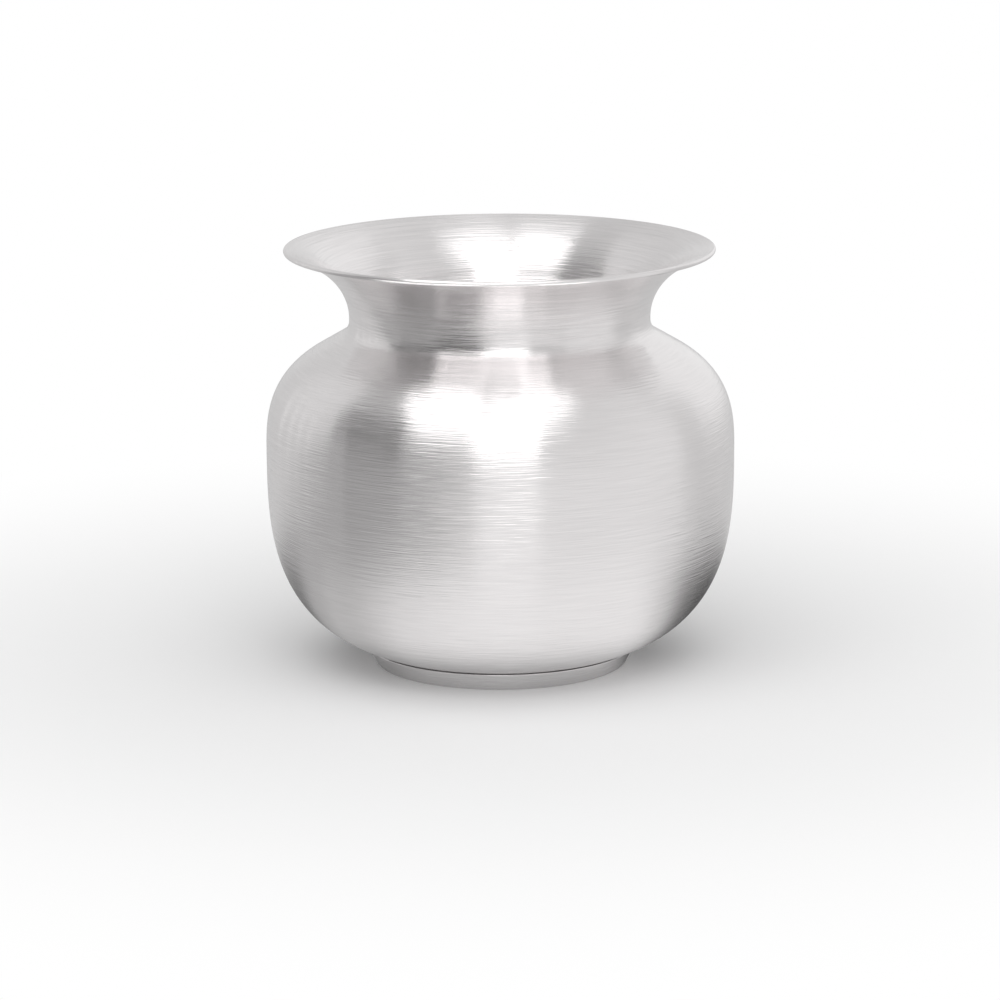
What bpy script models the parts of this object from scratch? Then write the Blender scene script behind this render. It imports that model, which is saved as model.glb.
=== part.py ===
"""A lota: a small bellied pot of thin brushed metal, with a flared mouth, a waisted neck and a low foot.

The pot is built up from three formed shells and a foot band. Each upper shell has a stepped spigot
that drops into the shell below it, so that the outside is flush, and a fillet of solder holds each seam.
The frame is in metres, +Z up, with the origin in the middle of the foot's underside.
Every piece is turned about Z from a section in the XZ plane, as (radius, height) points.
"""

import math

import bpy

# Driving dimensions
BELLY_DIAMETER = 0.0960        # outside, at the widest circle
LOWER_BELLY_DEPTH = 0.04405    # of the full curve below the widest circle, which the foot cuts short
LOWER_BELLY_FULLNESS = 3.0     # exponent of the curve: 2 is an ellipse, more is squarer
UPPER_BELLY_RISE = 0.02655     # of the full curve above the widest circle, which the slope cuts short
UPPER_BELLY_FULLNESS = 2.8
NECK_DIAMETER = 0.0615         # outside, at the waist
NECK_ROOT_RADIUS = 0.0035      # of the bend between the slope and the neck
SLOPE_RUN = 0.00375            # level length of the shoulder's straight slope, out from the bend's centre
COLLAR_HEIGHT = 0.0002         # of the shoulder's upright collar, from the bend to the seam
RIM_DIAMETER = 0.0880          # outside, over the lip
FLARE_HEIGHT = 0.0135          # from the neck's seam to the end of the flare
LIP_ANGLE = math.radians(12.5) # of the flare's end above the horizontal
WALL = 0.0010                  # sheet thickness of the three shells
FOOT_HEIGHT = 0.00355
FOOT_TOP_DIAMETER = 0.0554     # outside, where the foot meets the bowl
FOOT_BASE_DIAMETER = 0.0516    # outside, on the ground
FOOT_BAND = 0.0016             # thickness of the foot's band, measured level
FLOOR_RISE = 0.0016            # how far the floor is pressed up above the foot's seat
BELLY_SPIGOT_DEPTH = 0.0040    # how far the shoulder's spigot reaches into the bowl
SOLDER_LEG = 0.0012            # length of a solder fillet's legs
FIT_GAP = 0.0003               # between pieces that seat on each other

# Fineness of the turned surfaces
TURN_STEPS = 64
LOWER_BELLY_STEPS = 12
UPPER_BELLY_STEPS = 7
BEND_STEPS = 6
FLARE_STEPS = 9
LIP_STEPS = 4
MERGE_DISTANCE = 0.00001       # joins the points that a section has on the axis
SHARP_ANGLE = math.radians(40) # edges sharper than this aren't shaded smooth

# Metal, from the photograph
SHEET_COLOUR = (0.86, 0.85, 0.845)
SOLDER_COLOUR = (0.52, 0.52, 0.53)
SHEET_ROUGHNESS = 0.30
SOLDER_ROUGHNESS = 0.45

# Sizes that follow from the driving dimensions
BELLY_RADIUS = BELLY_DIAMETER / 2
NECK_RADIUS = NECK_DIAMETER / 2
BEND_RADIUS = NECK_RADIUS + NECK_ROOT_RADIUS
SLOPE_RADIUS = BEND_RADIUS + SLOPE_RUN
RIM_RADIUS = RIM_DIAMETER / 2
FOOT_TOP_RADIUS = FOOT_TOP_DIAMETER / 2
FOOT_BASE_RADIUS = FOOT_BASE_DIAMETER / 2
LIP_RADIUS = WALL / 2
SPIGOT_STEP = WALL + FIT_GAP   # how far a spigot is set in from the outside of its shell
SEAT_HEIGHT = FOOT_HEIGHT + FIT_GAP
NECK_SPIGOT_DEPTH = COLLAR_HEIGHT + NECK_ROOT_RADIUS + SOLDER_LEG


def curve_end(width, radius, fullness):
    """Angle on a superellipse of half-width width at which it has the given radius."""
    return math.acos((radius / width) ** (fullness / 2))


def curve_points(width, height, fullness, end, steps):
    """Points of a superellipse, from its side (angle 0) to the angle end, with height from 0."""
    points = []
    for step in range(steps + 1):
        angle = end * step / steps
        points.append((
            width * math.cos(angle) ** (2 / fullness),
            height * math.sin(angle) ** (2 / fullness),
        ))
    return points


def raised(points, height):
    """The points moved up by height."""
    return [(radius, z + height) for radius, z in points]


def inset(points, distance):
    """The line through the points moved to its left by distance, with mitred corners.

    A line that climbs the outside of a shell has the hollow on its left.
    """
    normals = []
    for (r0, z0), (r1, z1) in zip(points, points[1:]):
        length = math.hypot(r1 - r0, z1 - z0)
        normals.append((-(z1 - z0) / length, (r1 - r0) / length))
    moved = []
    for index, (radius, z) in enumerate(points):
        before = normals[max(index - 1, 0)]
        after = normals[min(index, len(normals) - 1)]
        share = distance / (1 + before[0] * after[0] + before[1] * after[1])
        moved.append((radius + share * (before[0] + after[0]), z + share * (before[1] + after[1])))
    return moved


def radius_at(points, height):
    """Radius at a height on a line that climbs from point to point."""
    for (r0, z0), (r1, z1) in zip(points, points[1:]):
        if z0 <= height <= z1:
            return r0 + (r1 - r0) * (height - z0) / (z1 - z0)
    raise ValueError("the line doesn't reach that height")


# Outside lines of the three shells, each from its lowest point to its highest

def bowl_outside():
    """From the axis under the raised floor, over the foot's seat, to the edge just short of the widest circle."""
    seat_inner = foot_inside(FOOT_HEIGHT) - FIT_GAP - SOLDER_LEG - FIT_GAP
    floor_edge = seat_inner - FLOOR_RISE
    floor_height = SEAT_HEIGHT + FLOOR_RISE
    end = curve_end(BELLY_RADIUS, FOOT_TOP_RADIUS, LOWER_BELLY_FULLNESS)
    curve = curve_points(BELLY_RADIUS, -LOWER_BELLY_DEPTH, LOWER_BELLY_FULLNESS, end, LOWER_BELLY_STEPS)
    widest_height = SEAT_HEIGHT - curve[-1][1]
    belly = raised(reversed(curve[1:]), widest_height)
    edge = (BELLY_RADIUS, widest_height - FIT_GAP)
    return [(0, floor_height), (floor_edge, floor_height), (seat_inner, SEAT_HEIGHT), *belly, edge]


def shoulder_outside():
    """From the seam at the widest circle, up the slope and round the neck's root, to the collar's edge."""
    base = bowl_outside()[-1][1] + FIT_GAP
    end = curve_end(BELLY_RADIUS, SLOPE_RADIUS, UPPER_BELLY_FULLNESS)
    curve = curve_points(BELLY_RADIUS, UPPER_BELLY_RISE, UPPER_BELLY_FULLNESS, end, UPPER_BELLY_STEPS)
    slope_start = curve[-1]
    power = UPPER_BELLY_FULLNESS - 1
    steepness = UPPER_BELLY_RISE / BELLY_RADIUS
    steepness *= (slope_start[0] / BELLY_RADIUS * UPPER_BELLY_RISE / slope_start[1]) ** power
    slope = math.atan(steepness)
    bend_start = BEND_RADIUS - NECK_ROOT_RADIUS * math.sin(slope)
    bend_height = slope_start[1] + (slope_start[0] - bend_start) * steepness + NECK_ROOT_RADIUS * math.cos(slope)
    bend = []
    for step in range(BEND_STEPS + 1):
        angle = (math.pi / 2 - slope) * (1 - step / BEND_STEPS)
        bend.append((
            BEND_RADIUS - NECK_ROOT_RADIUS * math.cos(angle),
            bend_height - NECK_ROOT_RADIUS * math.sin(angle),
        ))
    collar_edge = (NECK_RADIUS, bend_height + COLLAR_HEIGHT)
    return raised([*curve, *bend, collar_edge], base)


def mouth_outside():
    """From the neck's seam up the flare, a quarter of an ellipse that stops at the lip's angle."""
    base = shoulder_outside()[-1][1] + FIT_GAP
    reach = RIM_RADIUS - LIP_RADIUS * (1 - math.sin(LIP_ANGLE)) - NECK_RADIUS
    share = math.tan(LIP_ANGLE) * reach / FLARE_HEIGHT
    end = math.acos(share / (1 - share))
    points = []
    for step in range(FLARE_STEPS + 1):
        angle = end * step / FLARE_STEPS
        points.append((
            NECK_RADIUS + reach * (1 - math.cos(angle)) / (1 - math.cos(end)),
            FLARE_HEIGHT * math.sin(angle) / math.sin(end),
        ))
    return raised(points, base)


def foot_inside(height):
    """Inside radius of the foot's band at a height."""
    taper = (FOOT_TOP_RADIUS - FOOT_BASE_RADIUS) / FOOT_HEIGHT
    return FOOT_BASE_RADIUS + taper * height - FOOT_BAND


# Closed sections of the pieces. Each runs down its outer side and back up its inner side

def spigot(seam, depth):
    """The step and the spigot below a shell's lowest outside point, from the outside to the inside."""
    outer_radius, seam_height = seam
    bottom = seam_height - FIT_GAP - depth
    outside = outer_radius - SPIGOT_STEP
    inside = outside - WALL
    return [(outside, seam_height), (outside, bottom), (inside, bottom), (inside, seam_height)]


def mouth_section():
    """Flared mouth: lip, flare, waist and spigot."""
    outside = mouth_outside()
    inside = inset(outside, WALL)
    middle = inset(outside, LIP_RADIUS)[-1]
    (r0, z0), (r1, z1) = outside[-2:]
    tilt = math.atan2(z1 - z0, r1 - r0)
    lip = []
    for step in range(1, LIP_STEPS):
        angle = tilt + math.pi / 2 - math.pi * step / LIP_STEPS
        lip.append((middle[0] + LIP_RADIUS * math.cos(angle), middle[1] + LIP_RADIUS * math.sin(angle)))
    return [*lip, *reversed(outside), *spigot(outside[0], NECK_SPIGOT_DEPTH), *inside[1:]]


def shoulder_section():
    """Shoulder: collar, neck's root, slope, upper belly and spigot."""
    outside = shoulder_outside()
    inside = inset(outside, WALL)
    return [*reversed(outside), *spigot(outside[0], BELLY_SPIGOT_DEPTH), *inside[1:]]


def bowl_section():
    """Lower bowl, from the floor's upper face up the inside, over the edge and down to the floor's underside."""
    outside = bowl_outside()
    return [*inset(outside, WALL), *reversed(outside)]


def foot_section():
    """Foot ring: a band that tapers towards the ground."""
    return [
        (FOOT_TOP_RADIUS, FOOT_HEIGHT),
        (FOOT_BASE_RADIUS, 0),
        (foot_inside(0), 0),
        (foot_inside(FOOT_HEIGHT), FOOT_HEIGHT),
    ]


def neck_solder_section():
    """Solder in the wedge between the mouth's spigot and the inside of the neck's root."""
    spigot_radius, bottom = spigot(mouth_outside()[0], NECK_SPIGOT_DEPTH)[1]
    spigot_face = spigot_radius + FIT_GAP
    wall = inset(shoulder_outside(), SPIGOT_STEP)
    thinnest = spigot_face + FIT_GAP / 2
    wedge = [point for point in wall if point[1] > bottom and point[0] > thinnest]
    return [*reversed(wedge), (radius_at(wall, bottom), bottom), (spigot_face, bottom), (spigot_face, wedge[-1][1])]


def belly_solder_section():
    """Solder under the end of the shoulder's spigot, against the inside of the bowl."""
    spigot_inside, spigot_end = spigot(shoulder_outside()[0], BELLY_SPIGOT_DEPTH)[2]
    top = spigot_end - FIT_GAP
    bottom = top - SOLDER_LEG
    wall = inset(bowl_outside(), SPIGOT_STEP)
    return [(radius_at(wall, top), top), (radius_at(wall, bottom), bottom), (spigot_inside, top)]


def foot_solder_section():
    """Solder in the inner corner between the foot's band and the bowl's seat."""
    top = FOOT_HEIGHT
    bottom = top - SOLDER_LEG
    outside = foot_inside(top) - FIT_GAP
    return [(outside, top), (foot_inside(bottom) - FIT_GAP, bottom), (outside - SOLDER_LEG, top)]


# Building

def metal(name, colour, roughness):
    """A bare metal material."""
    material = bpy.data.materials.new(name)
    material.use_nodes = True
    shader = material.node_tree.nodes["Principled BSDF"]
    shader.inputs["Base Color"].default_value = (*colour, 1)
    shader.inputs["Metallic"].default_value = 1
    shader.inputs["Roughness"].default_value = roughness
    return material


def turned_piece(name, section, origin_height, colour, roughness, parent):
    """An object turned about Z from a section, with its origin on the axis at a height.

    The section is a closed ring, unless it starts and ends on the axis.
    """
    mesh = bpy.data.meshes.new(name)
    edges = [(index, index + 1) for index in range(len(section) - 1)]
    if section[0][0] > 0:
        edges.append((len(section) - 1, 0))
    mesh.from_pydata([(radius, 0, height - origin_height) for radius, height in section], edges, [])
    mesh.materials.append(metal(name, colour, roughness))
    piece = bpy.data.objects.new(name, mesh)
    piece.location.z = origin_height
    piece.parent = parent
    parent.users_collection[0].objects.link(piece)
    turn = piece.modifiers.new("turn", "SCREW")
    turn.axis = "Z"
    turn.angle = math.tau
    turn.steps = TURN_STEPS
    turn.render_steps = TURN_STEPS
    turn.use_merge_vertices = True
    turn.merge_threshold = MERGE_DISTANCE
    turned = bpy.data.meshes.new_from_object(piece.evaluated_get(bpy.context.evaluated_depsgraph_get()))
    turned.shade_smooth()
    turned.set_sharp_from_angle(angle=SHARP_ANGLE)
    piece.modifiers.clear()
    piece.data = turned
    bpy.data.meshes.remove(mesh)
    turned.name = name
    return piece


def main():
    for old in list(bpy.data.objects):
        bpy.data.objects.remove(old)
    collection = bpy.data.collections.new("lota")
    bpy.context.scene.collection.children.link(collection)
    pot = bpy.data.objects.new("lota", None)
    collection.objects.link(pot)
    belly_seam = shoulder_outside()[0][1]
    neck_seam = mouth_outside()[0][1]
    turned_piece("foot_ring", foot_section(), 0, SHEET_COLOUR, SHEET_ROUGHNESS, pot)
    turned_piece("lower_bowl", bowl_section(), SEAT_HEIGHT, SHEET_COLOUR, SHEET_ROUGHNESS, pot)
    turned_piece("shoulder", shoulder_section(), belly_seam, SHEET_COLOUR, SHEET_ROUGHNESS, pot)
    turned_piece("flared_mouth", mouth_section(), neck_seam, SHEET_COLOUR, SHEET_ROUGHNESS, pot)
    turned_piece("foot_solder", foot_solder_section(), SEAT_HEIGHT, SOLDER_COLOUR, SOLDER_ROUGHNESS, pot)
    turned_piece("belly_solder", belly_solder_section(), belly_seam, SOLDER_COLOUR, SOLDER_ROUGHNESS, pot)
    turned_piece("neck_solder", neck_solder_section(), neck_seam, SOLDER_COLOUR, SOLDER_ROUGHNESS, pot)


main()
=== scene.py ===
"""Looks of the lota: fine brushed-metal shells round its frame, on a pale floor in soft studio light."""

import logging
import math
from dataclasses import dataclass, field
from enum import Enum
from typing import Any, Iterable, Optional, Union

import bpy
from mathutils import Euler, Matrix, Vector


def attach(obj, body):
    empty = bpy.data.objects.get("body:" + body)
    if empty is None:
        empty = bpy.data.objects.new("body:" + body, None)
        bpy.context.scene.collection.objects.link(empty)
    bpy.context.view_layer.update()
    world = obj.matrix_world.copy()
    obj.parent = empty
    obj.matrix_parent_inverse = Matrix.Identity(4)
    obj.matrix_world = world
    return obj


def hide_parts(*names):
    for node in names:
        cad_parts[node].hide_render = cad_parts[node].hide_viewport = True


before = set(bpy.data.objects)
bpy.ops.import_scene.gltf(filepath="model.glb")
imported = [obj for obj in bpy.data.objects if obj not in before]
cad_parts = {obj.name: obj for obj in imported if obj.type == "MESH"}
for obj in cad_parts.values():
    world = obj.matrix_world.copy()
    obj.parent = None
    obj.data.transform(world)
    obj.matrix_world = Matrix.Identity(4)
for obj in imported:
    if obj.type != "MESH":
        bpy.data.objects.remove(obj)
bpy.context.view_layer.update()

LOG = logging.getLogger("lota")
BODY = "root"
TURN_SEGMENTS = 256
FILLET_SEGMENTS = 128
CURVE_STEPS = 400
CURVE_CROWDING = 1.5
FLARE_STEPS = 200
BEND_STEPS = 14
ON_AXIS = 1e-9
SHARP_ANGLE = math.radians(38)
ALONG = "along"
BAKE_MAP = "OFBake"

Point = tuple[float, float]
Line = list[Point]
Place = tuple[float, float, float]
Colour = tuple[float, float, float]
Operand = Union["Wire", float]


class Slot(Enum):
    """The record's material slots."""

    SHEET = "brushed_sheet"
    SOLDER = "solder"


class Seen(Enum):
    """Kinds of ray that a studio card can be hidden from."""

    CAMERA = "visible_camera"
    DIFFUSE = "visible_diffuse"
    TRANSMISSION = "visible_transmission"
    VOLUME = "visible_volume_scatter"
    SHADOW = "visible_shadow"


# Lines in the plane of radius and height

def resampled(line: Line, spacing: float) -> Line:
    """Spaces points evenly along a line.

    Args:
        line: Points of the line.
        spacing: Greatest distance between neighbours.

    Returns:
        The same line, with its ends kept.
    """
    lengths = [math.dist(a, b) for a, b in zip(line, line[1:])]
    total = sum(lengths)
    count = max(1, math.ceil(total / spacing))
    spaced, index, passed = [line[0]], 0, 0.0
    for step in range(1, count):
        target = total * step / count
        while passed + lengths[index] < target:
            passed += lengths[index]
            index += 1
        share = (target - passed) / lengths[index]
        (r0, z0), (r1, z1) = line[index], line[index + 1]
        spaced.append((r0 + (r1 - r0) * share, z0 + (z1 - z0) * share))
    return [*spaced, line[-1]]


def inset(line: Line, distance: float) -> Line:
    """Moves a line to its left, with mitred corners.

    Args:
        line: Points of a line that climbs the outside of a shell.
        distance: How far it moves, towards the hollow.

    Returns:
        The moved line, with as many points.
    """
    normals = []
    for (r0, z0), (r1, z1) in zip(line, line[1:]):
        length = math.hypot(r1 - r0, z1 - z0)
        normals.append((-(z1 - z0) / length, (r1 - r0) / length))
    moved = []
    for index, (radius, height) in enumerate(line):
        before = normals[max(index - 1, 0)]
        after = normals[min(index, len(normals) - 1)]
        share = distance / (1 + before[0] * after[0] + before[1] * after[1])
        moved.append((radius + share * (before[0] + after[0]), height + share * (before[1] + after[1])))
    return moved


def arc(centre: Point, radius: float, start: float, end: float, steps: int) -> Line:
    """Points of a circular arc, from one angle to another.

    Args:
        centre: Centre of the arc.
        radius: Radius of the arc.
        start: First angle, in radians.
        end: Last angle, in radians.
        steps: Number of steps.

    Returns:
        The arc's points, both ends included.
    """
    angles = [start + (end - start) * step / steps for step in range(steps + 1)]
    return [(centre[0] + radius * math.cos(a), centre[1] + radius * math.sin(a)) for a in angles]


def full_curve(width: float, height: float, fullness: float, end_radius: float) -> Line:
    """Points of a superellipse from its widest circle to a smaller radius.

    Args:
        width: Radius of the widest circle.
        height: Height of the whole curve, below zero for one that hangs.
        fullness: Exponent of the curve.
        end_radius: Radius at which the curve stops.

    Returns:
        The curve's points, with heights from the widest circle.
    """
    end = math.acos((end_radius / width) ** (fullness / 2))
    angles = [end * (step / CURVE_STEPS) ** CURVE_CROWDING for step in range(CURVE_STEPS + 1)]
    power = 2 / fullness
    return [(width * math.cos(a) ** power, height * math.sin(a) ** power) for a in angles]


def raised(line: Iterable[Point], height: float) -> Line:
    """Moves a line up by a height."""
    return [(radius, z + height) for radius, z in line]


def radius_at(line: Line, height: float) -> float:
    """Finds the radius at a height on a climbing line.

    Args:
        line: Points of the line.
        height: Height to look for.

    Returns:
        The radius there, or the last radius where the line stops short.
    """
    for (r0, z0), (r1, z1) in zip(line, line[1:]):
        if z0 <= height <= z1 and z1 > z0:
            return r0 + (r1 - r0) * (height - z0) / (z1 - z0)
    return line[-1][0]


@dataclass(frozen=True)
class PotSizes:
    """Sizes of the pot, in metres and radians, as its frame has them."""

    belly_radius: float = 0.0480
    lower_depth: float = 0.04405
    lower_fullness: float = 3.0
    upper_rise: float = 0.02655
    upper_fullness: float = 2.8
    neck_radius: float = 0.03075
    root_radius: float = 0.0035
    slope_run: float = 0.00375
    collar_height: float = 0.0002
    rim_radius: float = 0.0440
    flare_height: float = 0.01347
    lip_angle: float = math.radians(12.5)
    wall: float = 0.0010
    foot_height: float = 0.00355
    foot_top_radius: float = 0.0277
    foot_base_radius: float = 0.0258
    foot_band: float = 0.0016
    floor_rise: float = 0.0016
    belly_spigot: float = 0.0040
    solder_leg: float = 0.0012
    fit_gap: float = 0.0003
    spacing: float = 0.0007

    @property
    def seat_height(self) -> float:
        """Height of the bowl's seat on the foot."""
        return self.foot_height + self.fit_gap

    @property
    def spigot_step(self) -> float:
        """How far a spigot is set in from the outside of its shell."""
        return self.wall + self.fit_gap

    @property
    def neck_spigot(self) -> float:
        """How far the mouth's spigot reaches below the neck's seam."""
        return self.collar_height + self.root_radius + self.solder_leg

    def foot_inside(self, height: float) -> float:
        """Inside radius of the foot's band at a height."""
        taper = (self.foot_top_radius - self.foot_base_radius) / self.foot_height
        return self.foot_base_radius + taper * height - self.foot_band

    def bowl_outside(self) -> Line:
        """Draws the outside of the bowl.

        Returns:
            A line from the axis under the floor to the widest circle.
        """
        seat_inner = self.foot_inside(self.foot_height) - 2 * self.fit_gap - self.solder_leg
        floor_edge = seat_inner - self.floor_rise
        floor_height = self.seat_height + self.floor_rise
        curve = full_curve(self.belly_radius, -self.lower_depth, self.lower_fullness, self.foot_top_radius)
        belly = raised(reversed(curve), self.seat_height - curve[-1][1])
        under = [(0.0, floor_height), (floor_edge, floor_height), (seat_inner, self.seat_height), belly[0]]
        pressed = [resampled(list(pair), self.spacing)[:-1] for pair in zip(under, under[1:])]
        return [*sum(pressed, []), *resampled(belly, self.spacing)]

    def shoulder_outside(self) -> Line:
        """Draws the outside of the shoulder.

        Returns:
            A line from the widest circle to the neck's seam.
        """
        base = self.bowl_outside()[-1][1]
        bend_radius = self.neck_radius + self.root_radius
        top = bend_radius + self.slope_run
        curve = full_curve(self.belly_radius, self.upper_rise, self.upper_fullness, top)
        out, up = curve[-1]
        steepness = self.upper_rise / self.belly_radius
        steepness *= (out / self.belly_radius * self.upper_rise / up) ** (self.upper_fullness - 1)
        slope = math.atan(steepness)
        bend_start = bend_radius - self.root_radius * math.sin(slope)
        bend_height = up + (out - bend_start) * steepness + self.root_radius * math.cos(slope)
        bend = arc((bend_radius, bend_height), self.root_radius, 1.5 * math.pi - slope, math.pi, BEND_STEPS)
        edge = (self.neck_radius, bend_height + self.collar_height + self.fit_gap)
        return raised([*resampled([*curve, bend[0]], self.spacing), *bend[1:], edge], base)

    def mouth_outside(self) -> Line:
        """Draws the outside of the mouth.

        Returns:
            A line from the neck's seam to the end of the flare.
        """
        base = self.shoulder_outside()[-1][1]
        reach = self.rim_radius - self.wall / 2 * (1 - math.sin(self.lip_angle)) - self.neck_radius
        share = math.tan(self.lip_angle) * reach / self.flare_height
        end = math.acos(share / (1 - share))
        angles = [end * step / FLARE_STEPS for step in range(FLARE_STEPS + 1)]
        across = reach / (1 - math.cos(end))
        upward = self.flare_height / math.sin(end)
        flare = [(self.neck_radius + across * (1 - math.cos(a)), upward * math.sin(a)) for a in angles]
        return raised(resampled(flare, self.spacing), base)


# Shader maths

class Wire:
    """A shader value: a socket whose arithmetic adds Math nodes to its tree."""

    def __init__(self, tree: "ShaderTree", socket: bpy.types.NodeSocket) -> None:
        """Wraps an output socket of a tree."""
        self.tree = tree
        self.socket = socket

    def __add__(self, other: Operand) -> "Wire":
        """Sum."""
        return self.tree.math("ADD", self, other)

    __radd__ = __add__

    def __sub__(self, other: Operand) -> "Wire":
        """Difference."""
        return self.tree.math("SUBTRACT", self, other)

    def __rsub__(self, other: Operand) -> "Wire":
        """Difference from a number."""
        return self.tree.math("SUBTRACT", other, self)

    def __mul__(self, other: Operand) -> "Wire":
        """Product."""
        return self.tree.math("MULTIPLY", self, other)

    __rmul__ = __mul__

    def __truediv__(self, other: Operand) -> "Wire":
        """Quotient."""
        return self.tree.math("DIVIDE", self, other)

    def smooth(self, low: float, high: float) -> "Wire":
        """Smooth step from 0 at low to 1 at high."""
        settings = {"interpolation_type": "SMOOTHSTEP"}
        return self.tree.node("ShaderNodeMapRange", settings, {0: self, 1: low, 2: high, 3: 0.0, 4: 1.0})


class ShaderTree:
    """A node tree that is written with calls and expressions."""

    def __init__(self, owner: Union[bpy.types.Material, bpy.types.World, bpy.types.Light]) -> None:
        """Starts an empty tree.

        Args:
            owner: The material, world or lamp whose nodes are cleared.
        """
        owner.use_nodes = True
        self.nodes = owner.node_tree.nodes
        self.links = owner.node_tree.links
        self.nodes.clear()

    def node(
        self,
        kind: str,
        settings: Optional[dict[str, Any]] = None,
        inputs: Optional[dict[Any, Any]] = None,
        output: Union[int, str] = 0,
    ) -> Wire:
        """Adds a node.

        Args:
            kind: Type of the node.
            settings: The node's own properties, set before its sockets.
            inputs: Values or wires by socket name or number.
            output: Name or number of the output wanted.

        Returns:
            The output as a wire.
        """
        made = self.nodes.new(kind)
        for name, value in (settings or {}).items():
            setattr(made, name, value)
        for key, value in (inputs or {}).items():
            if isinstance(value, Wire):
                self.links.new(value.socket, made.inputs[key])
            else:
                made.inputs[key].default_value = value
        outputs = made.outputs
        return Wire(self, outputs[output] if len(outputs) else None)

    def math(self, operation: str, first: Operand, second: Operand) -> Wire:
        """Adds a Math node on two values."""
        return self.node("ShaderNodeMath", {"operation": operation}, {0: first, 1: second})

    def mix(self, factor: Operand, first: Any, second: Any) -> Wire:
        """Mixes two colours.

        Args:
            factor: Share of the second colour.
            first: Colour or wire at 0.
            second: Colour or wire at 1.

        Returns:
            The mixed colour.
        """
        inputs = {0: factor, 6: first, 7: second}
        return self.node("ShaderNodeMix", {"data_type": "RGBA", "clamp_factor": True}, inputs, 2)

    def noise(self, vector: Wire, scale: float, detail: float, roughness: float) -> Wire:
        """Adds a noise that runs from 0 to 1 about a half."""
        inputs = {"Vector": vector, "Scale": scale, "Detail": detail, "Roughness": roughness}
        return self.node("ShaderNodeTexNoise", {"noise_dimensions": "3D"}, inputs)

    def bump(self, depth: float, height: Wire, normal: Optional[Wire] = None) -> Wire:
        """Adds a bump.

        Args:
            depth: Depth of the relief, in metres.
            height: Relief, from 0 to 1.
            normal: Normal that the relief lies on, if not the surface's own.

        Returns:
            The bumped normal.
        """
        inputs = {"Strength": 1.0, "Distance": depth, "Height": height}
        if normal is not None:
            inputs["Normal"] = normal
        return self.node("ShaderNodeBump", None, inputs)

    def mix_shader(self, factor: Operand, first: Wire, second: Wire) -> Wire:
        """Mixes two shaders."""
        return self.node("ShaderNodeMixShader", None, {0: factor, 1: first, 2: second})

    def emission(self, colour: Any) -> Wire:
        """Adds a plain glow of a colour, or of a grey where a number is wired in."""
        return self.node("ShaderNodeEmission", None, {"Color": colour, "Strength": 1.0})

    def ray(self, kind: str) -> Wire:
        """Whether the ray is of a kind, such as Is Camera Ray."""
        return self.node("ShaderNodeLightPath", None, None, kind)

    def axis(self, vector: Wire, name: str) -> Wire:
        """One component of a vector, by the letter of its axis."""
        return self.node("ShaderNodeSeparateXYZ", None, {0: vector}, name)


def rgba(colour: Colour) -> tuple[float, float, float, float]:
    """Colour with a full alpha."""
    return (*colour, 1.0)


@dataclass(frozen=True)
class StrokeLayer:
    """One layer of brush strokes, as shares of its finish's pitch and turns."""

    pitch: float
    turns: float
    shift: float
    weight: float


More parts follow.
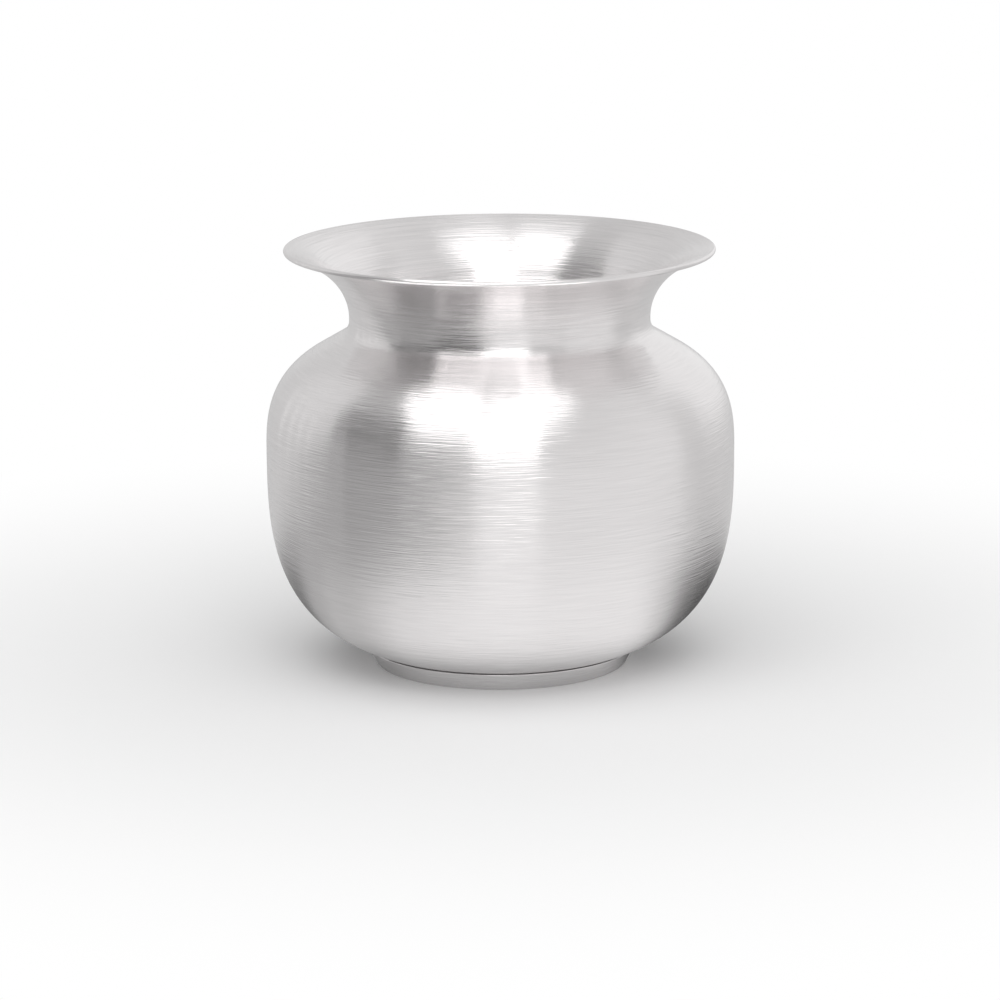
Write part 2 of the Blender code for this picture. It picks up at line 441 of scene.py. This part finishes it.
@dataclass(frozen=True)
class BrushedMetal:
    """Bare white metal that was scraped on the lathe: fine lines run round the axis.

    The lines are noise that is drawn out along the turn. Each shell stores how far along its section a
    point lies, so that the lines follow its curve.
    """

    name: str
    light: Colour = (0.955, 0.931, 0.932)
    dark: Colour = (0.905, 0.882, 0.883)
    roughness: float = 0.215
    roughness_spread: float = 0.04
    anisotropy: float = 1.0
    groove: float = 0.000112
    waviness: float = 0.000015
    lines_per_metre: float = 3800.0
    stroke_turns: float = 5.4
    fine: StrokeLayer = StrokeLayer(1.0, 1.0, 3.7, 0.5)
    broad: StrokeLayer = StrokeLayer(0.3, 0.45, 11.3, 0.2)
    hair: StrokeLayer = StrokeLayer(1.75, 1.5, 23.1, 0.35)
    hair_edges: Point = (0.35, 0.65)
    cloud_scale: float = 70.0
    cloud_tone: float = 0.5
    cloud_roughness: float = 0.04
    line_tone: float = 2.6
    quarter_turn: float = 0.25

    def strokes(self, tree: ShaderTree, position: Wire, along: Wire, layer: StrokeLayer) -> Wire:
        """Adds noise that is drawn out round the axis.

        Args:
            tree: Tree to add to.
            position: Place on the object.
            along: Distance along the section.
            layer: The layer's shares of the pitch and turns, and the offset that sets it apart.

        Returns:
            A wire from 0 to 1.
        """
        pitch, turns = self.lines_per_metre * layer.pitch, self.stroke_turns * layer.turns
        flat = tree.node("ShaderNodeVectorMath", {"operation": "MULTIPLY"}, {0: position, 1: (1, 1, 0)})
        unit = tree.node("ShaderNodeVectorMath", {"operation": "NORMALIZE"}, {0: flat})
        around = tree.node("ShaderNodeVectorMath", {"operation": "SCALE"}, {0: unit, "Scale": turns})
        climb = tree.node("ShaderNodeCombineXYZ", None, {"X": layer.shift, "Y": 0.0, "Z": along * pitch})
        place = tree.node("ShaderNodeVectorMath", {"operation": "ADD"}, {0: around, 1: climb})
        return tree.noise(place, 1.0, 0.0, 0.5)

    def make(self) -> bpy.types.Material:
        """Builds the material.

        Returns:
            A material for turned pieces that store their distance along the section.
        """
        material = bpy.data.materials.new(self.name)
        tree = ShaderTree(material)
        position = tree.node("ShaderNodeTexCoord", None, None, "Object")
        along = tree.node("ShaderNodeAttribute", {"attribute_name": ALONG}, None, "Fac")
        fine = self.strokes(tree, position, along, self.fine)
        broad = self.strokes(tree, position, along, self.broad)
        hair = self.strokes(tree, position, along, self.hair)
        cloud = tree.noise(position, self.cloud_scale, 2.0, 0.5)
        lines = (fine - 0.5) * self.fine.weight
        lines = lines + (broad - 0.5) * self.broad.weight + (hair - 0.5) * self.hair.weight
        swell = tree.bump(self.waviness, cloud)
        grain = tree.bump(self.groove, lines * (0.5 + cloud), swell)
        tone = 0.5 + lines * self.line_tone + (cloud - 0.5) * self.cloud_tone
        rough = self.roughness + hair.smooth(*self.hair_edges) * self.roughness_spread
        shader = tree.node("ShaderNodeBsdfPrincipled", None, {
            "Base Color": tree.mix(tone, rgba(self.dark), rgba(self.light)),
            "Metallic": 1.0,
            "Roughness": rough + (cloud - 0.5) * self.cloud_roughness,
            "Normal": grain,
            "Anisotropic": self.anisotropy,
            "Anisotropic Rotation": self.quarter_turn,
        })
        tree.node("ShaderNodeOutputMaterial", None, {"Surface": shader})
        return material


@dataclass(frozen=True)
class FlowedSolder:
    """Solder as it ran into a seam: dull grey with soft mottling."""

    name: str = "flowed_solder"
    light: Colour = (0.60, 0.60, 0.61)
    dark: Colour = (0.42, 0.42, 0.43)
    roughness: float = 0.42
    roughness_spread: float = 0.2
    mottle_scale: float = 420.0
    mottle_edges: Point = (0.35, 0.65)
    pit_scale: float = 1500.0
    pit_share: float = 0.4
    depth: float = 0.00006

    def make(self) -> bpy.types.Material:
        """Builds the material.

        Returns:
            A material for the fillets.
        """
        material = bpy.data.materials.new(self.name)
        tree = ShaderTree(material)
        position = tree.node("ShaderNodeTexCoord", None, None, "Object")
        mottle = tree.noise(position, self.mottle_scale, 3.0, 0.55)
        pits = tree.noise(position, self.pit_scale, 2.0, 0.5)
        shader = tree.node("ShaderNodeBsdfPrincipled", None, {
            "Base Color": tree.mix(mottle.smooth(*self.mottle_edges), rgba(self.dark), rgba(self.light)),
            "Metallic": 1.0,
            "Roughness": self.roughness + (pits - 0.5) * self.roughness_spread,
            "Normal": tree.bump(self.depth, mottle + pits * self.pit_share),
        })
        tree.node("ShaderNodeOutputMaterial", None, {"Surface": shader})
        return material


class TurnedPiece:
    """A closed solid turned about Z, in place in the frame."""

    def __init__(self, name: str, section: Line, segments: int = TURN_SEGMENTS) -> None:
        """Turns a section.

        Args:
            name: Name of the piece.
            section: Points that run down the outer side and back up the inner side. A section that
                starts and ends on the axis is left open there, and any other is closed.
            segments: Number of facets round the axis.
        """
        self.on_axis = section[0][0] < ON_AXIS
        self.section = section if self.on_axis else [*section, section[0]]
        self.segments = segments
        self.object = self._turn(name)

    def _turn(self, name: str) -> bpy.types.Object:
        """Makes the mesh, its distance along the section and its bake map.

        Args:
            name: Name of the object.

        Returns:
            The object, linked to the scene.
        """
        count = self.segments
        rings = len(self.section) - (0 if self.on_axis else 1)
        travelled = [0.0]
        for a, b in zip(self.section, self.section[1:]):
            travelled.append(travelled[-1] + math.dist(a, b))
        turn = [(math.cos(math.tau * j / count), math.sin(math.tau * j / count)) for j in range(count)]
        verts: list[Place] = []
        first: list[int] = []
        along: list[float] = []
        for index in range(rings):
            radius, height = self.section[index]
            first.append(len(verts))
            ring = [(radius * c, radius * s, height) for c, s in turn]
            if radius < ON_AXIS:
                ring = [(0.0, 0.0, height)]
            verts.extend(ring)
            along.extend([travelled[index]] * len(ring))
        faces: list[list[int]] = []
        spots: list[list[Point]] = []
        total = travelled[-1]
        for index in range(len(self.section) - 1):
            upper, lower = first[index], first[(index + 1) % rings]
            tip = self.section[index][0] < ON_AXIS
            point = self.section[index + 1][0] < ON_AXIS
            v0, v1 = travelled[index] / total, travelled[index + 1] / total
            for j in range(count):
                k = (j + 1) % count
                u0, u1 = j / count, (j + 1) / count
                if tip:
                    faces.append([upper, lower + j, lower + k])
                    spots.append([((u0 + u1) / 2, v0), (u0, v1), (u1, v1)])
                elif point:
                    faces.append([upper + j, lower, upper + k])
                    spots.append([(u0, v0), ((u0 + u1) / 2, v1), (u1, v0)])
                else:
                    faces.append([upper + j, lower + j, lower + k, upper + k])
                    spots.append([(u0, v0), (u0, v1), (u1, v1), (u1, v0)])
        mesh = bpy.data.meshes.new(name)
        mesh.from_pydata(verts, [], faces)
        mesh.attributes.new(ALONG, "FLOAT", "POINT").data.foreach_set("value", along)
        flat = [number for face in spots for spot in face for number in spot]
        mesh.uv_layers.new(name=BAKE_MAP).data.foreach_set("uv", flat)
        mesh.shade_smooth()
        mesh.set_sharp_from_angle(angle=SHARP_ANGLE)
        made = bpy.data.objects.new(name, mesh)
        bpy.context.scene.collection.objects.link(made)
        return made

    def dress(self, material: bpy.types.Material, node: str) -> bpy.types.Object:
        """Gives the piece its finish and sets it in the frame.

        Args:
            material: Finish of the piece.
            node: The frame's node that it stands for.

        Returns:
            The dressed object.
        """
        self.object.data.materials.append(material)
        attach(self.object, BODY)
        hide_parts(node)
        LOG.info("%s: %d faces", self.object.name, len(self.object.data.polygons))
        return self.object


def spigot(seam: Point, depth: float, sizes: PotSizes) -> Line:
    """The step and the spigot below a shell's seam.

    Args:
        seam: Lowest outside point of the shell.
        depth: How far the spigot reaches.
        sizes: Sizes of the pot.

    Returns:
        Points from the step's inner corner, down the outside and up the inside.
    """
    radius, height = seam
    outside = radius - sizes.spigot_step
    inside = outside - sizes.wall
    bottom = height - sizes.fit_gap - depth
    down = resampled([(outside, height), (outside, bottom)], sizes.spacing)
    up = resampled([(inside, bottom), (inside, height)], sizes.spacing)
    return [*down, *up]


@dataclass
class FlaredMouth:
    """The trumpet mouth with its lip, and the spigot that drops into the shoulder."""

    sizes: PotSizes
    finish: bpy.types.Material
    lip_steps: int = 14
    inside_start: int = 4

    def section(self) -> Line:
        """Draws the section of the mouth, whose inside starts a few points above the spigot's step.

        Returns:
            A line from the spigot's end, up the inside, round the lip and down the outside.
        """
        sizes = self.sizes
        outside = sizes.mouth_outside()
        inside = inset(outside, sizes.wall)
        middle = inset(outside, sizes.wall / 2)[-1]
        (r0, z0), (r1, z1) = outside[-2:]
        tilt = math.atan2(z1 - z0, r1 - r0)
        lip = arc(middle, sizes.wall / 2, tilt + math.pi / 2, tilt - math.pi / 2, self.lip_steps)
        step = spigot(outside[0], sizes.neck_spigot, sizes)
        half = len(step) // 2
        return [*step[half:], *inside[self.inside_start:], *lip[1:-1], *reversed(outside), *step[:half]]

    def build(self) -> bpy.types.Object:
        """Turns and dresses the mouth."""
        return TurnedPiece("mouth_shell", self.section()).dress(self.finish, "flared_mouth")


@dataclass
class Shoulder:
    """The upper belly with the neck's root and collar, and the spigot that drops into the bowl."""

    sizes: PotSizes
    finish: bpy.types.Material
    inside_start: int = 6

    def section(self) -> Line:
        """Draws the section of the shoulder, whose inside starts a few points above the spigot's step.

        Returns:
            A line from the spigot's end, up the inside and down the outside.
        """
        outside = self.sizes.shoulder_outside()
        inside = inset(outside, self.sizes.wall)
        step = spigot(outside[0], self.sizes.belly_spigot, self.sizes)
        half = len(step) // 2
        return [*step[half:], *inside[self.inside_start:], *reversed(outside), *step[:half]]

    def build(self) -> bpy.types.Object:
        """Turns and dresses the shoulder."""
        return TurnedPiece("shoulder_shell", self.section()).dress(self.finish, "shoulder")


@dataclass
class LowerBowl:
    """The lower belly with the foot's seat and the raised floor."""

    sizes: PotSizes
    finish: bpy.types.Material

    def section(self) -> Line:
        """Section of the bowl, from the floor's upper face to its underside."""
        outside = self.sizes.bowl_outside()
        return [*inset(outside, self.sizes.wall), *reversed(outside)]

    def build(self) -> bpy.types.Object:
        """Turns and dresses the bowl."""
        return TurnedPiece("bowl_shell", self.section()).dress(self.finish, "lower_bowl")


@dataclass
class FootBand:
    """The tapering band that the pot stands on, with its edges broken."""

    sizes: PotSizes
    finish: bpy.types.Material
    edge: float = 0.00025
    edge_steps: int = 4
    spacing: float = 0.00012

    def section(self) -> Line:
        """Draws the section of the band.

        Returns:
            A line from its outer top edge, down the outside and up the inside.
        """
        sizes = self.sizes
        corners = [
            (sizes.foot_top_radius, sizes.foot_height),
            (sizes.foot_base_radius, 0.0),
            (sizes.foot_inside(0.0), 0.0),
            (sizes.foot_inside(sizes.foot_height), sizes.foot_height),
        ]
        rounded: Line = []
        for index, corner in enumerate(corners):
            before, after = corners[index - 1], corners[(index + 1) % len(corners)]
            start = self._towards(corner, before)
            end = self._towards(corner, after)
            for step in range(self.edge_steps + 1):
                t = step / self.edge_steps
                one, two, three = (1 - t) ** 2, 2 * t * (1 - t), t * t
                rounded.append((
                    one * start[0] + two * corner[0] + three * end[0],
                    one * start[1] + two * corner[1] + three * end[1],
                ))
        closed = [*rounded, rounded[0]]
        return resampled(closed, self.spacing)[:-1]

    def _towards(self, corner: Point, other: Point) -> Point:
        """Point a broken edge's width from a corner towards another."""
        share = self.edge / math.dist(corner, other)
        return (corner[0] + (other[0] - corner[0]) * share, corner[1] + (other[1] - corner[1]) * share)

    def build(self) -> bpy.types.Object:
        """Turns and dresses the foot."""
        return TurnedPiece("foot_band", self.section()).dress(self.finish, "foot_ring")


@dataclass
class SolderFillets:
    """The three runs of solder inside the seams, each hollow-faced as it set."""

    sizes: PotSizes
    finish: bpy.types.Material
    hollow: float = 0.22
    steps: int = 8

    def _fillet(self, corner: Point, first: Point, last: Point) -> Line:
        """A fillet with a hollow face.

        Args:
            corner: The corner that it fills.
            first: Where its face starts.
            last: Where its face ends.

        Returns:
            Points of its section, from the corner round by the face.
        """
        face = []
        for step in range(self.steps + 1):
            t = step / self.steps
            pull = 4 * t * (1 - t) * self.hollow
            straight = (first[0] + (last[0] - first[0]) * t, first[1] + (last[1] - first[1]) * t)
            face.append((
                straight[0] + (corner[0] - straight[0]) * pull,
                straight[1] + (corner[1] - straight[1]) * pull,
            ))
        return [corner, *face]

    def neck(self) -> Line:
        """Draws the fillet in the wedge between the mouth's spigot and the neck's root.

        Returns:
            Points of its section.
        """
        sizes = self.sizes
        seam = sizes.mouth_outside()[0]
        face = seam[0] - sizes.spigot_step + sizes.fit_gap
        bottom = seam[1] - sizes.fit_gap - sizes.neck_spigot
        wall = inset(sizes.shoulder_outside(), sizes.spigot_step)
        wedge = [point for point in wall if point[1] > bottom and point[0] > face + sizes.fit_gap / 2]
        low = (radius_at(wall, bottom), bottom)
        return [*reversed(wedge), low, (face, bottom), (face, wedge[-1][1])]

    def belly(self) -> Line:
        """Draws the fillet under the end of the shoulder's spigot, against the bowl.

        Returns:
            Points of its section.
        """
        sizes = self.sizes
        seam = sizes.shoulder_outside()[0]
        top = seam[1] - 2 * sizes.fit_gap - sizes.belly_spigot
        bottom = top - sizes.solder_leg
        wall = inset(sizes.bowl_outside(), sizes.spigot_step)
        inside = seam[0] - sizes.spigot_step - sizes.wall
        return self._fillet((radius_at(wall, top), top), (radius_at(wall, bottom), bottom), (inside, top))

    def foot(self) -> Line:
        """Draws the fillet in the inner corner between the foot's band and the bowl's seat.

        Returns:
            Points of its section.
        """
        sizes = self.sizes
        top = sizes.foot_height
        bottom = top - sizes.solder_leg
        outside = sizes.foot_inside(top) - sizes.fit_gap
        low = (sizes.foot_inside(bottom) - sizes.fit_gap, bottom)
        return self._fillet((outside, top), low, (outside - sizes.solder_leg, top))

    def build(self) -> list[bpy.types.Object]:
        """Turns and dresses the three fillets.

        Returns:
            The fillets, from the neck down.
        """
        runs = {"neck": self.neck(), "belly": self.belly(), "foot": self.foot()}
        made = []
        for seam, section in runs.items():
            piece = TurnedPiece(f"{seam}_fillet", section, FILLET_SEGMENTS)
            made.append(piece.dress(self.finish, f"{seam}_solder"))
        return made


# Studio

@dataclass(frozen=True)
class Panel:
    """A flat panel that faces the pot: a soft lamp, or a glowing card that only reflections see, which paints
    a bright or dark reflection on the metal and lights nothing.

    Azimuth 0 is towards the camera and grows to the right; angles are in degrees. The offset moves the
    panel in its own plane. A lamp can fade towards its lower edge, over a share of its height, and a card's
    sides can melt away, over a share of its width.
    """

    name: str
    azimuth: float
    elevation: float
    width: float
    height: float
    radiance: float
    offset: Point = (0.0, 0.0)
    fade: float = 0.0
    distance: float = 1.4
    target: Place = (0.0, 0.0, 0.045)
    melt: float = 0.0

    @classmethod
    def span(
        cls, name: str, azimuth: Point, elevation: Point, radiance: float, distance: float = 1.1,
    ) -> "Panel":
        """Makes a panel that fills a span of directions.

        Args:
            name: Name of the panel.
            azimuth: First and last azimuth.
            elevation: Lowest and highest elevation.
            radiance: Glow of the panel.
            distance: Distance from the pot.

        Returns:
            The panel.
        """
        half_turn, half_rise = (math.radians(span[1] - span[0]) / 2 for span in (azimuth, elevation))
        middle = sum(azimuth) / 2, sum(elevation) / 2
        width, height = 2 * distance * math.tan(half_turn), 2 * distance * math.tan(half_rise)
        return cls(name, *middle, width, height, radiance, distance=distance)

    @classmethod
    def upright(
        cls,
        name: str,
        azimuth: float,
        size: Point,
        radiance: float,
        distance: float,
        height: float,
        melt: float,
    ) -> "Panel":
        """Makes a small upright panel close to the neck.

        Args:
            name: Name of the panel.
            azimuth: Azimuth of its middle.
            size: Its width and height.
            radiance: Glow of the panel.
            distance: Distance from the axis.
            height: Height of its middle above the ground.
            melt: Share of its width over which each side melts away.

        Returns:
            The panel.
        """
        return cls(name, azimuth, 0, *size, radiance, distance=distance, target=(0.0, 0.0, height), melt=melt)

    def _link(self, data: Union[bpy.types.Light, bpy.types.Mesh]) -> bpy.types.Object:
        """Makes an object of the panel's data and sets it in its place, facing the pot.

        Args:
            data: Lamp whose glow is on its far side of Z, or a mesh in the plane of X and Y.

        Returns:
            The object, linked to the scene.
        """
        azimuth, elevation = math.radians(self.azimuth), math.radians(self.elevation)
        level, rise = math.cos(elevation), math.sin(elevation)
        towards = Vector((math.sin(azimuth) * level, -math.cos(azimuth) * level, rise))
        sideways = Vector((math.cos(azimuth), math.sin(azimuth), 0.0))
        upward = towards.cross(sideways)
        shift = sideways * self.offset[0] + upward * self.offset[1]
        thing = bpy.data.objects.new(self.name, data)
        bpy.context.scene.collection.objects.link(thing)
        turn = Matrix((sideways, upward, towards)).transposed()
        thing.matrix_world = Matrix.LocRotScale(
            Vector(self.target) + towards * self.distance + shift, turn.to_quaternion(), None)
        return thing

    def lamp(self) -> bpy.types.Object:
        """Makes the panel as an area lamp.

        Returns:
            The lamp, linked to the scene.
        """
        lamp = bpy.data.lights.new(self.name, "AREA")
        lamp.shape = "RECTANGLE"
        lamp.size, lamp.size_y = self.width, self.height
        lamp.energy = self.radiance * math.pi * self.width * self.height
        if self.fade:
            tree = ShaderTree(lamp)
            place = tree.node("ShaderNodeNewGeometry", None, None, "Parametric")
            glow = tree.emission(tree.axis(place, "Y").smooth(0.0, self.fade))
            tree.node("ShaderNodeOutputLight", None, {"Surface": glow})
        thing = self._link(lamp)
        thing.visible_camera = False
        return thing

    def card(self) -> bpy.types.Object:
        """Makes the panel as a glowing card that only reflections see: a painted reflection, bright or dark,
        that lights nothing.

        Returns:
            The card, linked to the scene.
        """
        mesh = bpy.data.meshes.new(self.name)
        x, y = self.width / 2, self.height / 2
        mesh.from_pydata([(-x, -y, 0), (x, -y, 0), (x, y, 0), (-x, y, 0)], [], [(0, 1, 2, 3)])
        material = bpy.data.materials.new(self.name)
        tree = ShaderTree(material)
        glow = tree.emission(rgba((self.radiance,) * 3))
        if self.melt:
            side = tree.axis(tree.node("ShaderNodeTexCoord", None, None, "Generated"), "X")
            body = side.smooth(0.0, self.melt) * side.smooth(1.0, 1.0 - self.melt)
            glow = tree.mix_shader(body, tree.node("ShaderNodeBsdfTransparent"), glow)
        tree.node("ShaderNodeOutputMaterial", None, {"Surface": glow})
        mesh.materials.append(material)
        thing = self._link(mesh)
        for kind in Seen:
            setattr(thing, kind.value, False)
        return thing


@dataclass(frozen=True)
class PaleFloor:
    """A pale floor that keeps the shadow near the pot and runs out into white.

    The metal mirrors it as a plain grey glow, a painted reflection of the floor, with painted shade where the
    pot and its surroundings would darken it.
    A pair of numbers is where a shade starts and where it is full: metres for a distance, and sine or
    cosine for a direction, with the camera's side ahead and its right to the right.
    """

    side: float = 4.0
    tone: float = 0.92
    white: float = 1.0
    shadow: Point = (0.055, 0.22)
    # Level of the painted reflection: the grey glow that the metal mirrors, dimmer farther out.
    glow: float = 0.86
    glow_loss: float = 0.09
    glow_edge: Point = (0.07, 0.16)
    close: Point = (0.060, 0.130)
    # Level and edges of the painted shadow under the foot, in the mirrored glow.
    painted_foot_shadow: float = 0.30
    painted_foot_shadow_edge: Point = (0.022, 0.042)

    def _painted_shades(self, across: Wire, back: Wire, away: Wire) -> list[tuple[Wire, float]]:
        """Marks out the painted shade on the mirrored floor's glow.

        Args:
            across: Distance to the right.
            back: Distance backwards.
            away: Distance from the axis.

        Returns:
            A mask and a depth for each painted shade.
        """
        right, ahead = across / away, back / away * -1.0
        close = 1.0 - away.smooth(*self.close)
        left_front = across.smooth(-0.015, -0.10) * away.smooth(0.06, 0.13) * (1.0 - back.smooth(0.0, 0.10))
        behind = back.smooth(-0.02, 0.06)
        left_side = right.smooth(-0.1, -1.05) * close
        left_edge = right.smooth(-0.6, -0.95) * ahead.smooth(-0.15, 0.15) * (1.0 - away.smooth(0.10, 0.17))
        right_side = right.smooth(0.0, 0.4) * ahead.smooth(0.65, -0.05) * close
        back_side = ahead.smooth(0.3, -0.4) * (1.0 - away.smooth(0.06, 0.14))
        return [
            (left_front, 0.50), (behind, 0.25), (left_side, 0.20),
            (left_edge, 0.26), (right_side, 0.70), (back_side, 0.70),
        ]

    def material(self) -> bpy.types.Material:
        """Builds the floor's material, which is clear from below so that the foot can be seen.

        Returns:
            The material.
        """
        material = bpy.data.materials.new("pale_floor")
        tree = ShaderTree(material)
        position = tree.node("ShaderNodeTexCoord", None, None, "Object")
        across, back = tree.axis(position, "X"), tree.axis(position, "Y")
        away = tree.node("ShaderNodeVectorMath", {"operation": "LENGTH"}, {0: position}, "Value")
        near = tree.node("ShaderNodeBsdfDiffuse", None, {"Color": rgba((self.tone,) * 3)})
        far = tree.emission(rgba((self.white,) * 3))
        laid = tree.mix_shader(away.smooth(*self.shadow), near, far)
        # Glow that the metal mirrors in place of the lit floor, a painted reflection, darkened by the painted
        # shades below.
        level = self.glow - away.smooth(*self.glow_edge) * self.glow_loss
        for mask, depth in self._painted_shades(across, back, away):
            level = level * (1.0 - mask * depth)
        # Painted shadow under the foot, in the glow that the metal mirrors.
        level = level * (self.painted_foot_shadow + away.smooth(*self.painted_foot_shadow_edge) * (1.0 - self.painted_foot_shadow))
        # Reflections see the painted glow; other rays see the lit floor.
        above = tree.mix_shader(tree.ray("Is Glossy Ray"), laid, tree.emission(level))
        underside = tree.node("ShaderNodeNewGeometry", None, None, "Backfacing")
        seen = tree.mix_shader(underside, above, tree.node("ShaderNodeBsdfTransparent"))
        tree.node("ShaderNodeOutputMaterial", None, {"Surface": seen})
        return material

    def build(self) -> bpy.types.Object:
        """Lays the floor.

        Returns:
            The floor, linked to the scene.
        """
        half = self.side / 2
        corners = [(-half, -half, 0), (half, -half, 0), (half, half, 0), (-half, half, 0)]
        mesh = bpy.data.meshes.new("floor")
        mesh.from_pydata(corners, [], [(0, 1, 2, 3)])
        mesh.materials.append(self.material())
        floor = bpy.data.objects.new("floor", mesh)
        bpy.context.scene.collection.objects.link(floor)
        return floor


@dataclass
class Studio:
    """Pale floor, soft light and the camera."""

    white: float = 1.0
    sky_level: float = 0.625
    sky_rightward: float = 0.13
    sky_backward: float = 0.04
    lens: float = 158.9
    sensor: float = 36.0
    camera_place: Place = (-0.00014, -0.88817, 0.22974)
    camera_pitch: float = 12.454
    camera_roll: float = -0.30
    lamps: list[Panel] = field(default_factory=lambda: [
        Panel("front_panel", 3.0, 31, 0.735, 1.407, 1.74, (0.0, -0.1375), 0.846),
        Panel("overhead_left_panel", -8, 58, 0.735, 2.456, 1.20, (-0.5075, -0.078), 0.653),
        Panel("overhead_right_panel", -8, 58, 0.74, 1.833, 0.95, (0.32, 0.2335), 0.606),
    ])
    # Glowing cards that only reflections see: painted reflections on the metal, bright and dark.
    cards: list[Panel] = field(default_factory=lambda: [
        # Glowing cards by the neck: they paint highlights on the slope in reflection and light nothing.
        Panel.upright("left_glowing_highlight_card", -23, (0.0360, 0.0075), 2.2, 0.048, 0.0796, 0.25),
        Panel.upright("right_glowing_highlight_card", 19.8, (0.0200, 0.0075), 2.0, 0.048, 0.0796, 0.30),
        # Dark cards by the neck: they paint dark reflections round the neck's bend, and block no light.
        Panel.upright("left_dark_reflection_card", -22, (0.0340, 0.0052), 0.10, 0.040, 0.0758, 0.28),
        Panel.upright("neck_dark_reflection_card", -20, (0.0210, 0.0042), 0.02, 0.0398, 0.0724, 0.40),
        Panel.upright("right_grey_reflection_card", 22, (0.0180, 0.0046), 0.40, 0.040, 0.0757, 0.30),
        Panel.span("left_wall", (-150, -94), (-10, 50), 0.62, 1.25),
        Panel.span("right_wall", (126, 172), (0, 46), 0.84, 1.25),
        Panel.span("dark_strip", (-92, -60), (12, 42), 0.21),
        Panel.span("dark_corner", (-80, -42), (-12, 14), 0.26),
        Panel.span("dim_corner", (-42, -28), (-8, 19), 0.27, 1.05),
        Panel.span("grey_corner", (-28, -13), (-8, 17), 0.42, 1.05),
        Panel.span("dark_edge", (-59, -51), (6, 42), 0.20, 1.0),
        Panel.span("left_strip_1", (-136, -133), (-10, 50), 0.84),
        Panel.span("left_strip_2", (-125.5, -122.5), (-10, 50), 0.84),
        Panel.span("left_strip_3", (-116.5, -113.5), (-10, 50), 0.82),
        Panel.span("left_strip_4", (-108, -105), (-10, 50), 0.78),
        Panel.span("right_strip_dark", (98, 116), (-10, 45), 0.64),
        Panel.span("right_strip_light", (85, 93), (-10, 45), 0.74),
    ])

    def world(self) -> None:
        """Lights the scene softly all round, and shows white behind the object."""
        world = bpy.data.worlds.new("studio")
        bpy.context.scene.world = world
        tree = ShaderTree(world)
        direction = tree.node("ShaderNodeTexCoord", None, None, "Generated")
        right, back = tree.axis(direction, "X"), tree.axis(direction, "Y")
        level = self.sky_level + right * self.sky_rightward + back * self.sky_backward
        seen = tree.ray("Is Camera Ray")
        shown = level + seen * (self.white - level)
        sky = tree.node("ShaderNodeBackground", None, {"Color": shown, "Strength": 1.0})
        tree.node("ShaderNodeOutputWorld", None, {"Surface": sky})

    def camera(self) -> bpy.types.Object:
        """Sets up the camera at the picture's viewing angle.

        Returns:
            The camera, linked to the scene.
        """
        data = bpy.data.cameras.new("camera")
        data.lens = self.lens
        data.sensor_width = self.sensor
        camera = bpy.data.objects.new("camera", data)
        bpy.context.scene.collection.objects.link(camera)
        camera.location = self.camera_place
        look = Euler((math.radians(90 - self.camera_pitch), 0.0, 0.0)).to_matrix()
        roll = Euler((0.0, 0.0, math.radians(self.camera_roll))).to_matrix()
        camera.rotation_euler = (look @ roll).to_euler()
        bpy.context.scene.camera = camera
        return camera

    def build(self) -> None:
        """Builds the studio."""
        self.camera()
        self.world()
        PaleFloor(white=self.white).build()
        for panel in self.lamps:
            panel.lamp()
        for panel in self.cards:
            panel.card()
        bpy.context.scene.view_settings.view_transform = "Standard"


def main() -> None:
    """Builds the pot and its studio."""
    logging.basicConfig(level=logging.INFO)
    sizes = PotSizes()
    sheet = BrushedMetal("brushed_sheet").make()
    scraped = BrushedMetal(
        "scraped_sheet",
        light=(0.962, 0.938, 0.939),
        dark=(0.885, 0.863, 0.864),
        groove=0.000140,
        stroke_turns=2.4,
    ).make()
    solder = FlowedSolder().make()
    FlaredMouth(sizes, scraped).build()
    Shoulder(sizes, sheet).build()
    LowerBowl(sizes, sheet).build()
    FootBand(sizes, sheet).build()
    SolderFillets(sizes, solder).build()
    Studio().build()


if __name__ == "__main__":
    main()
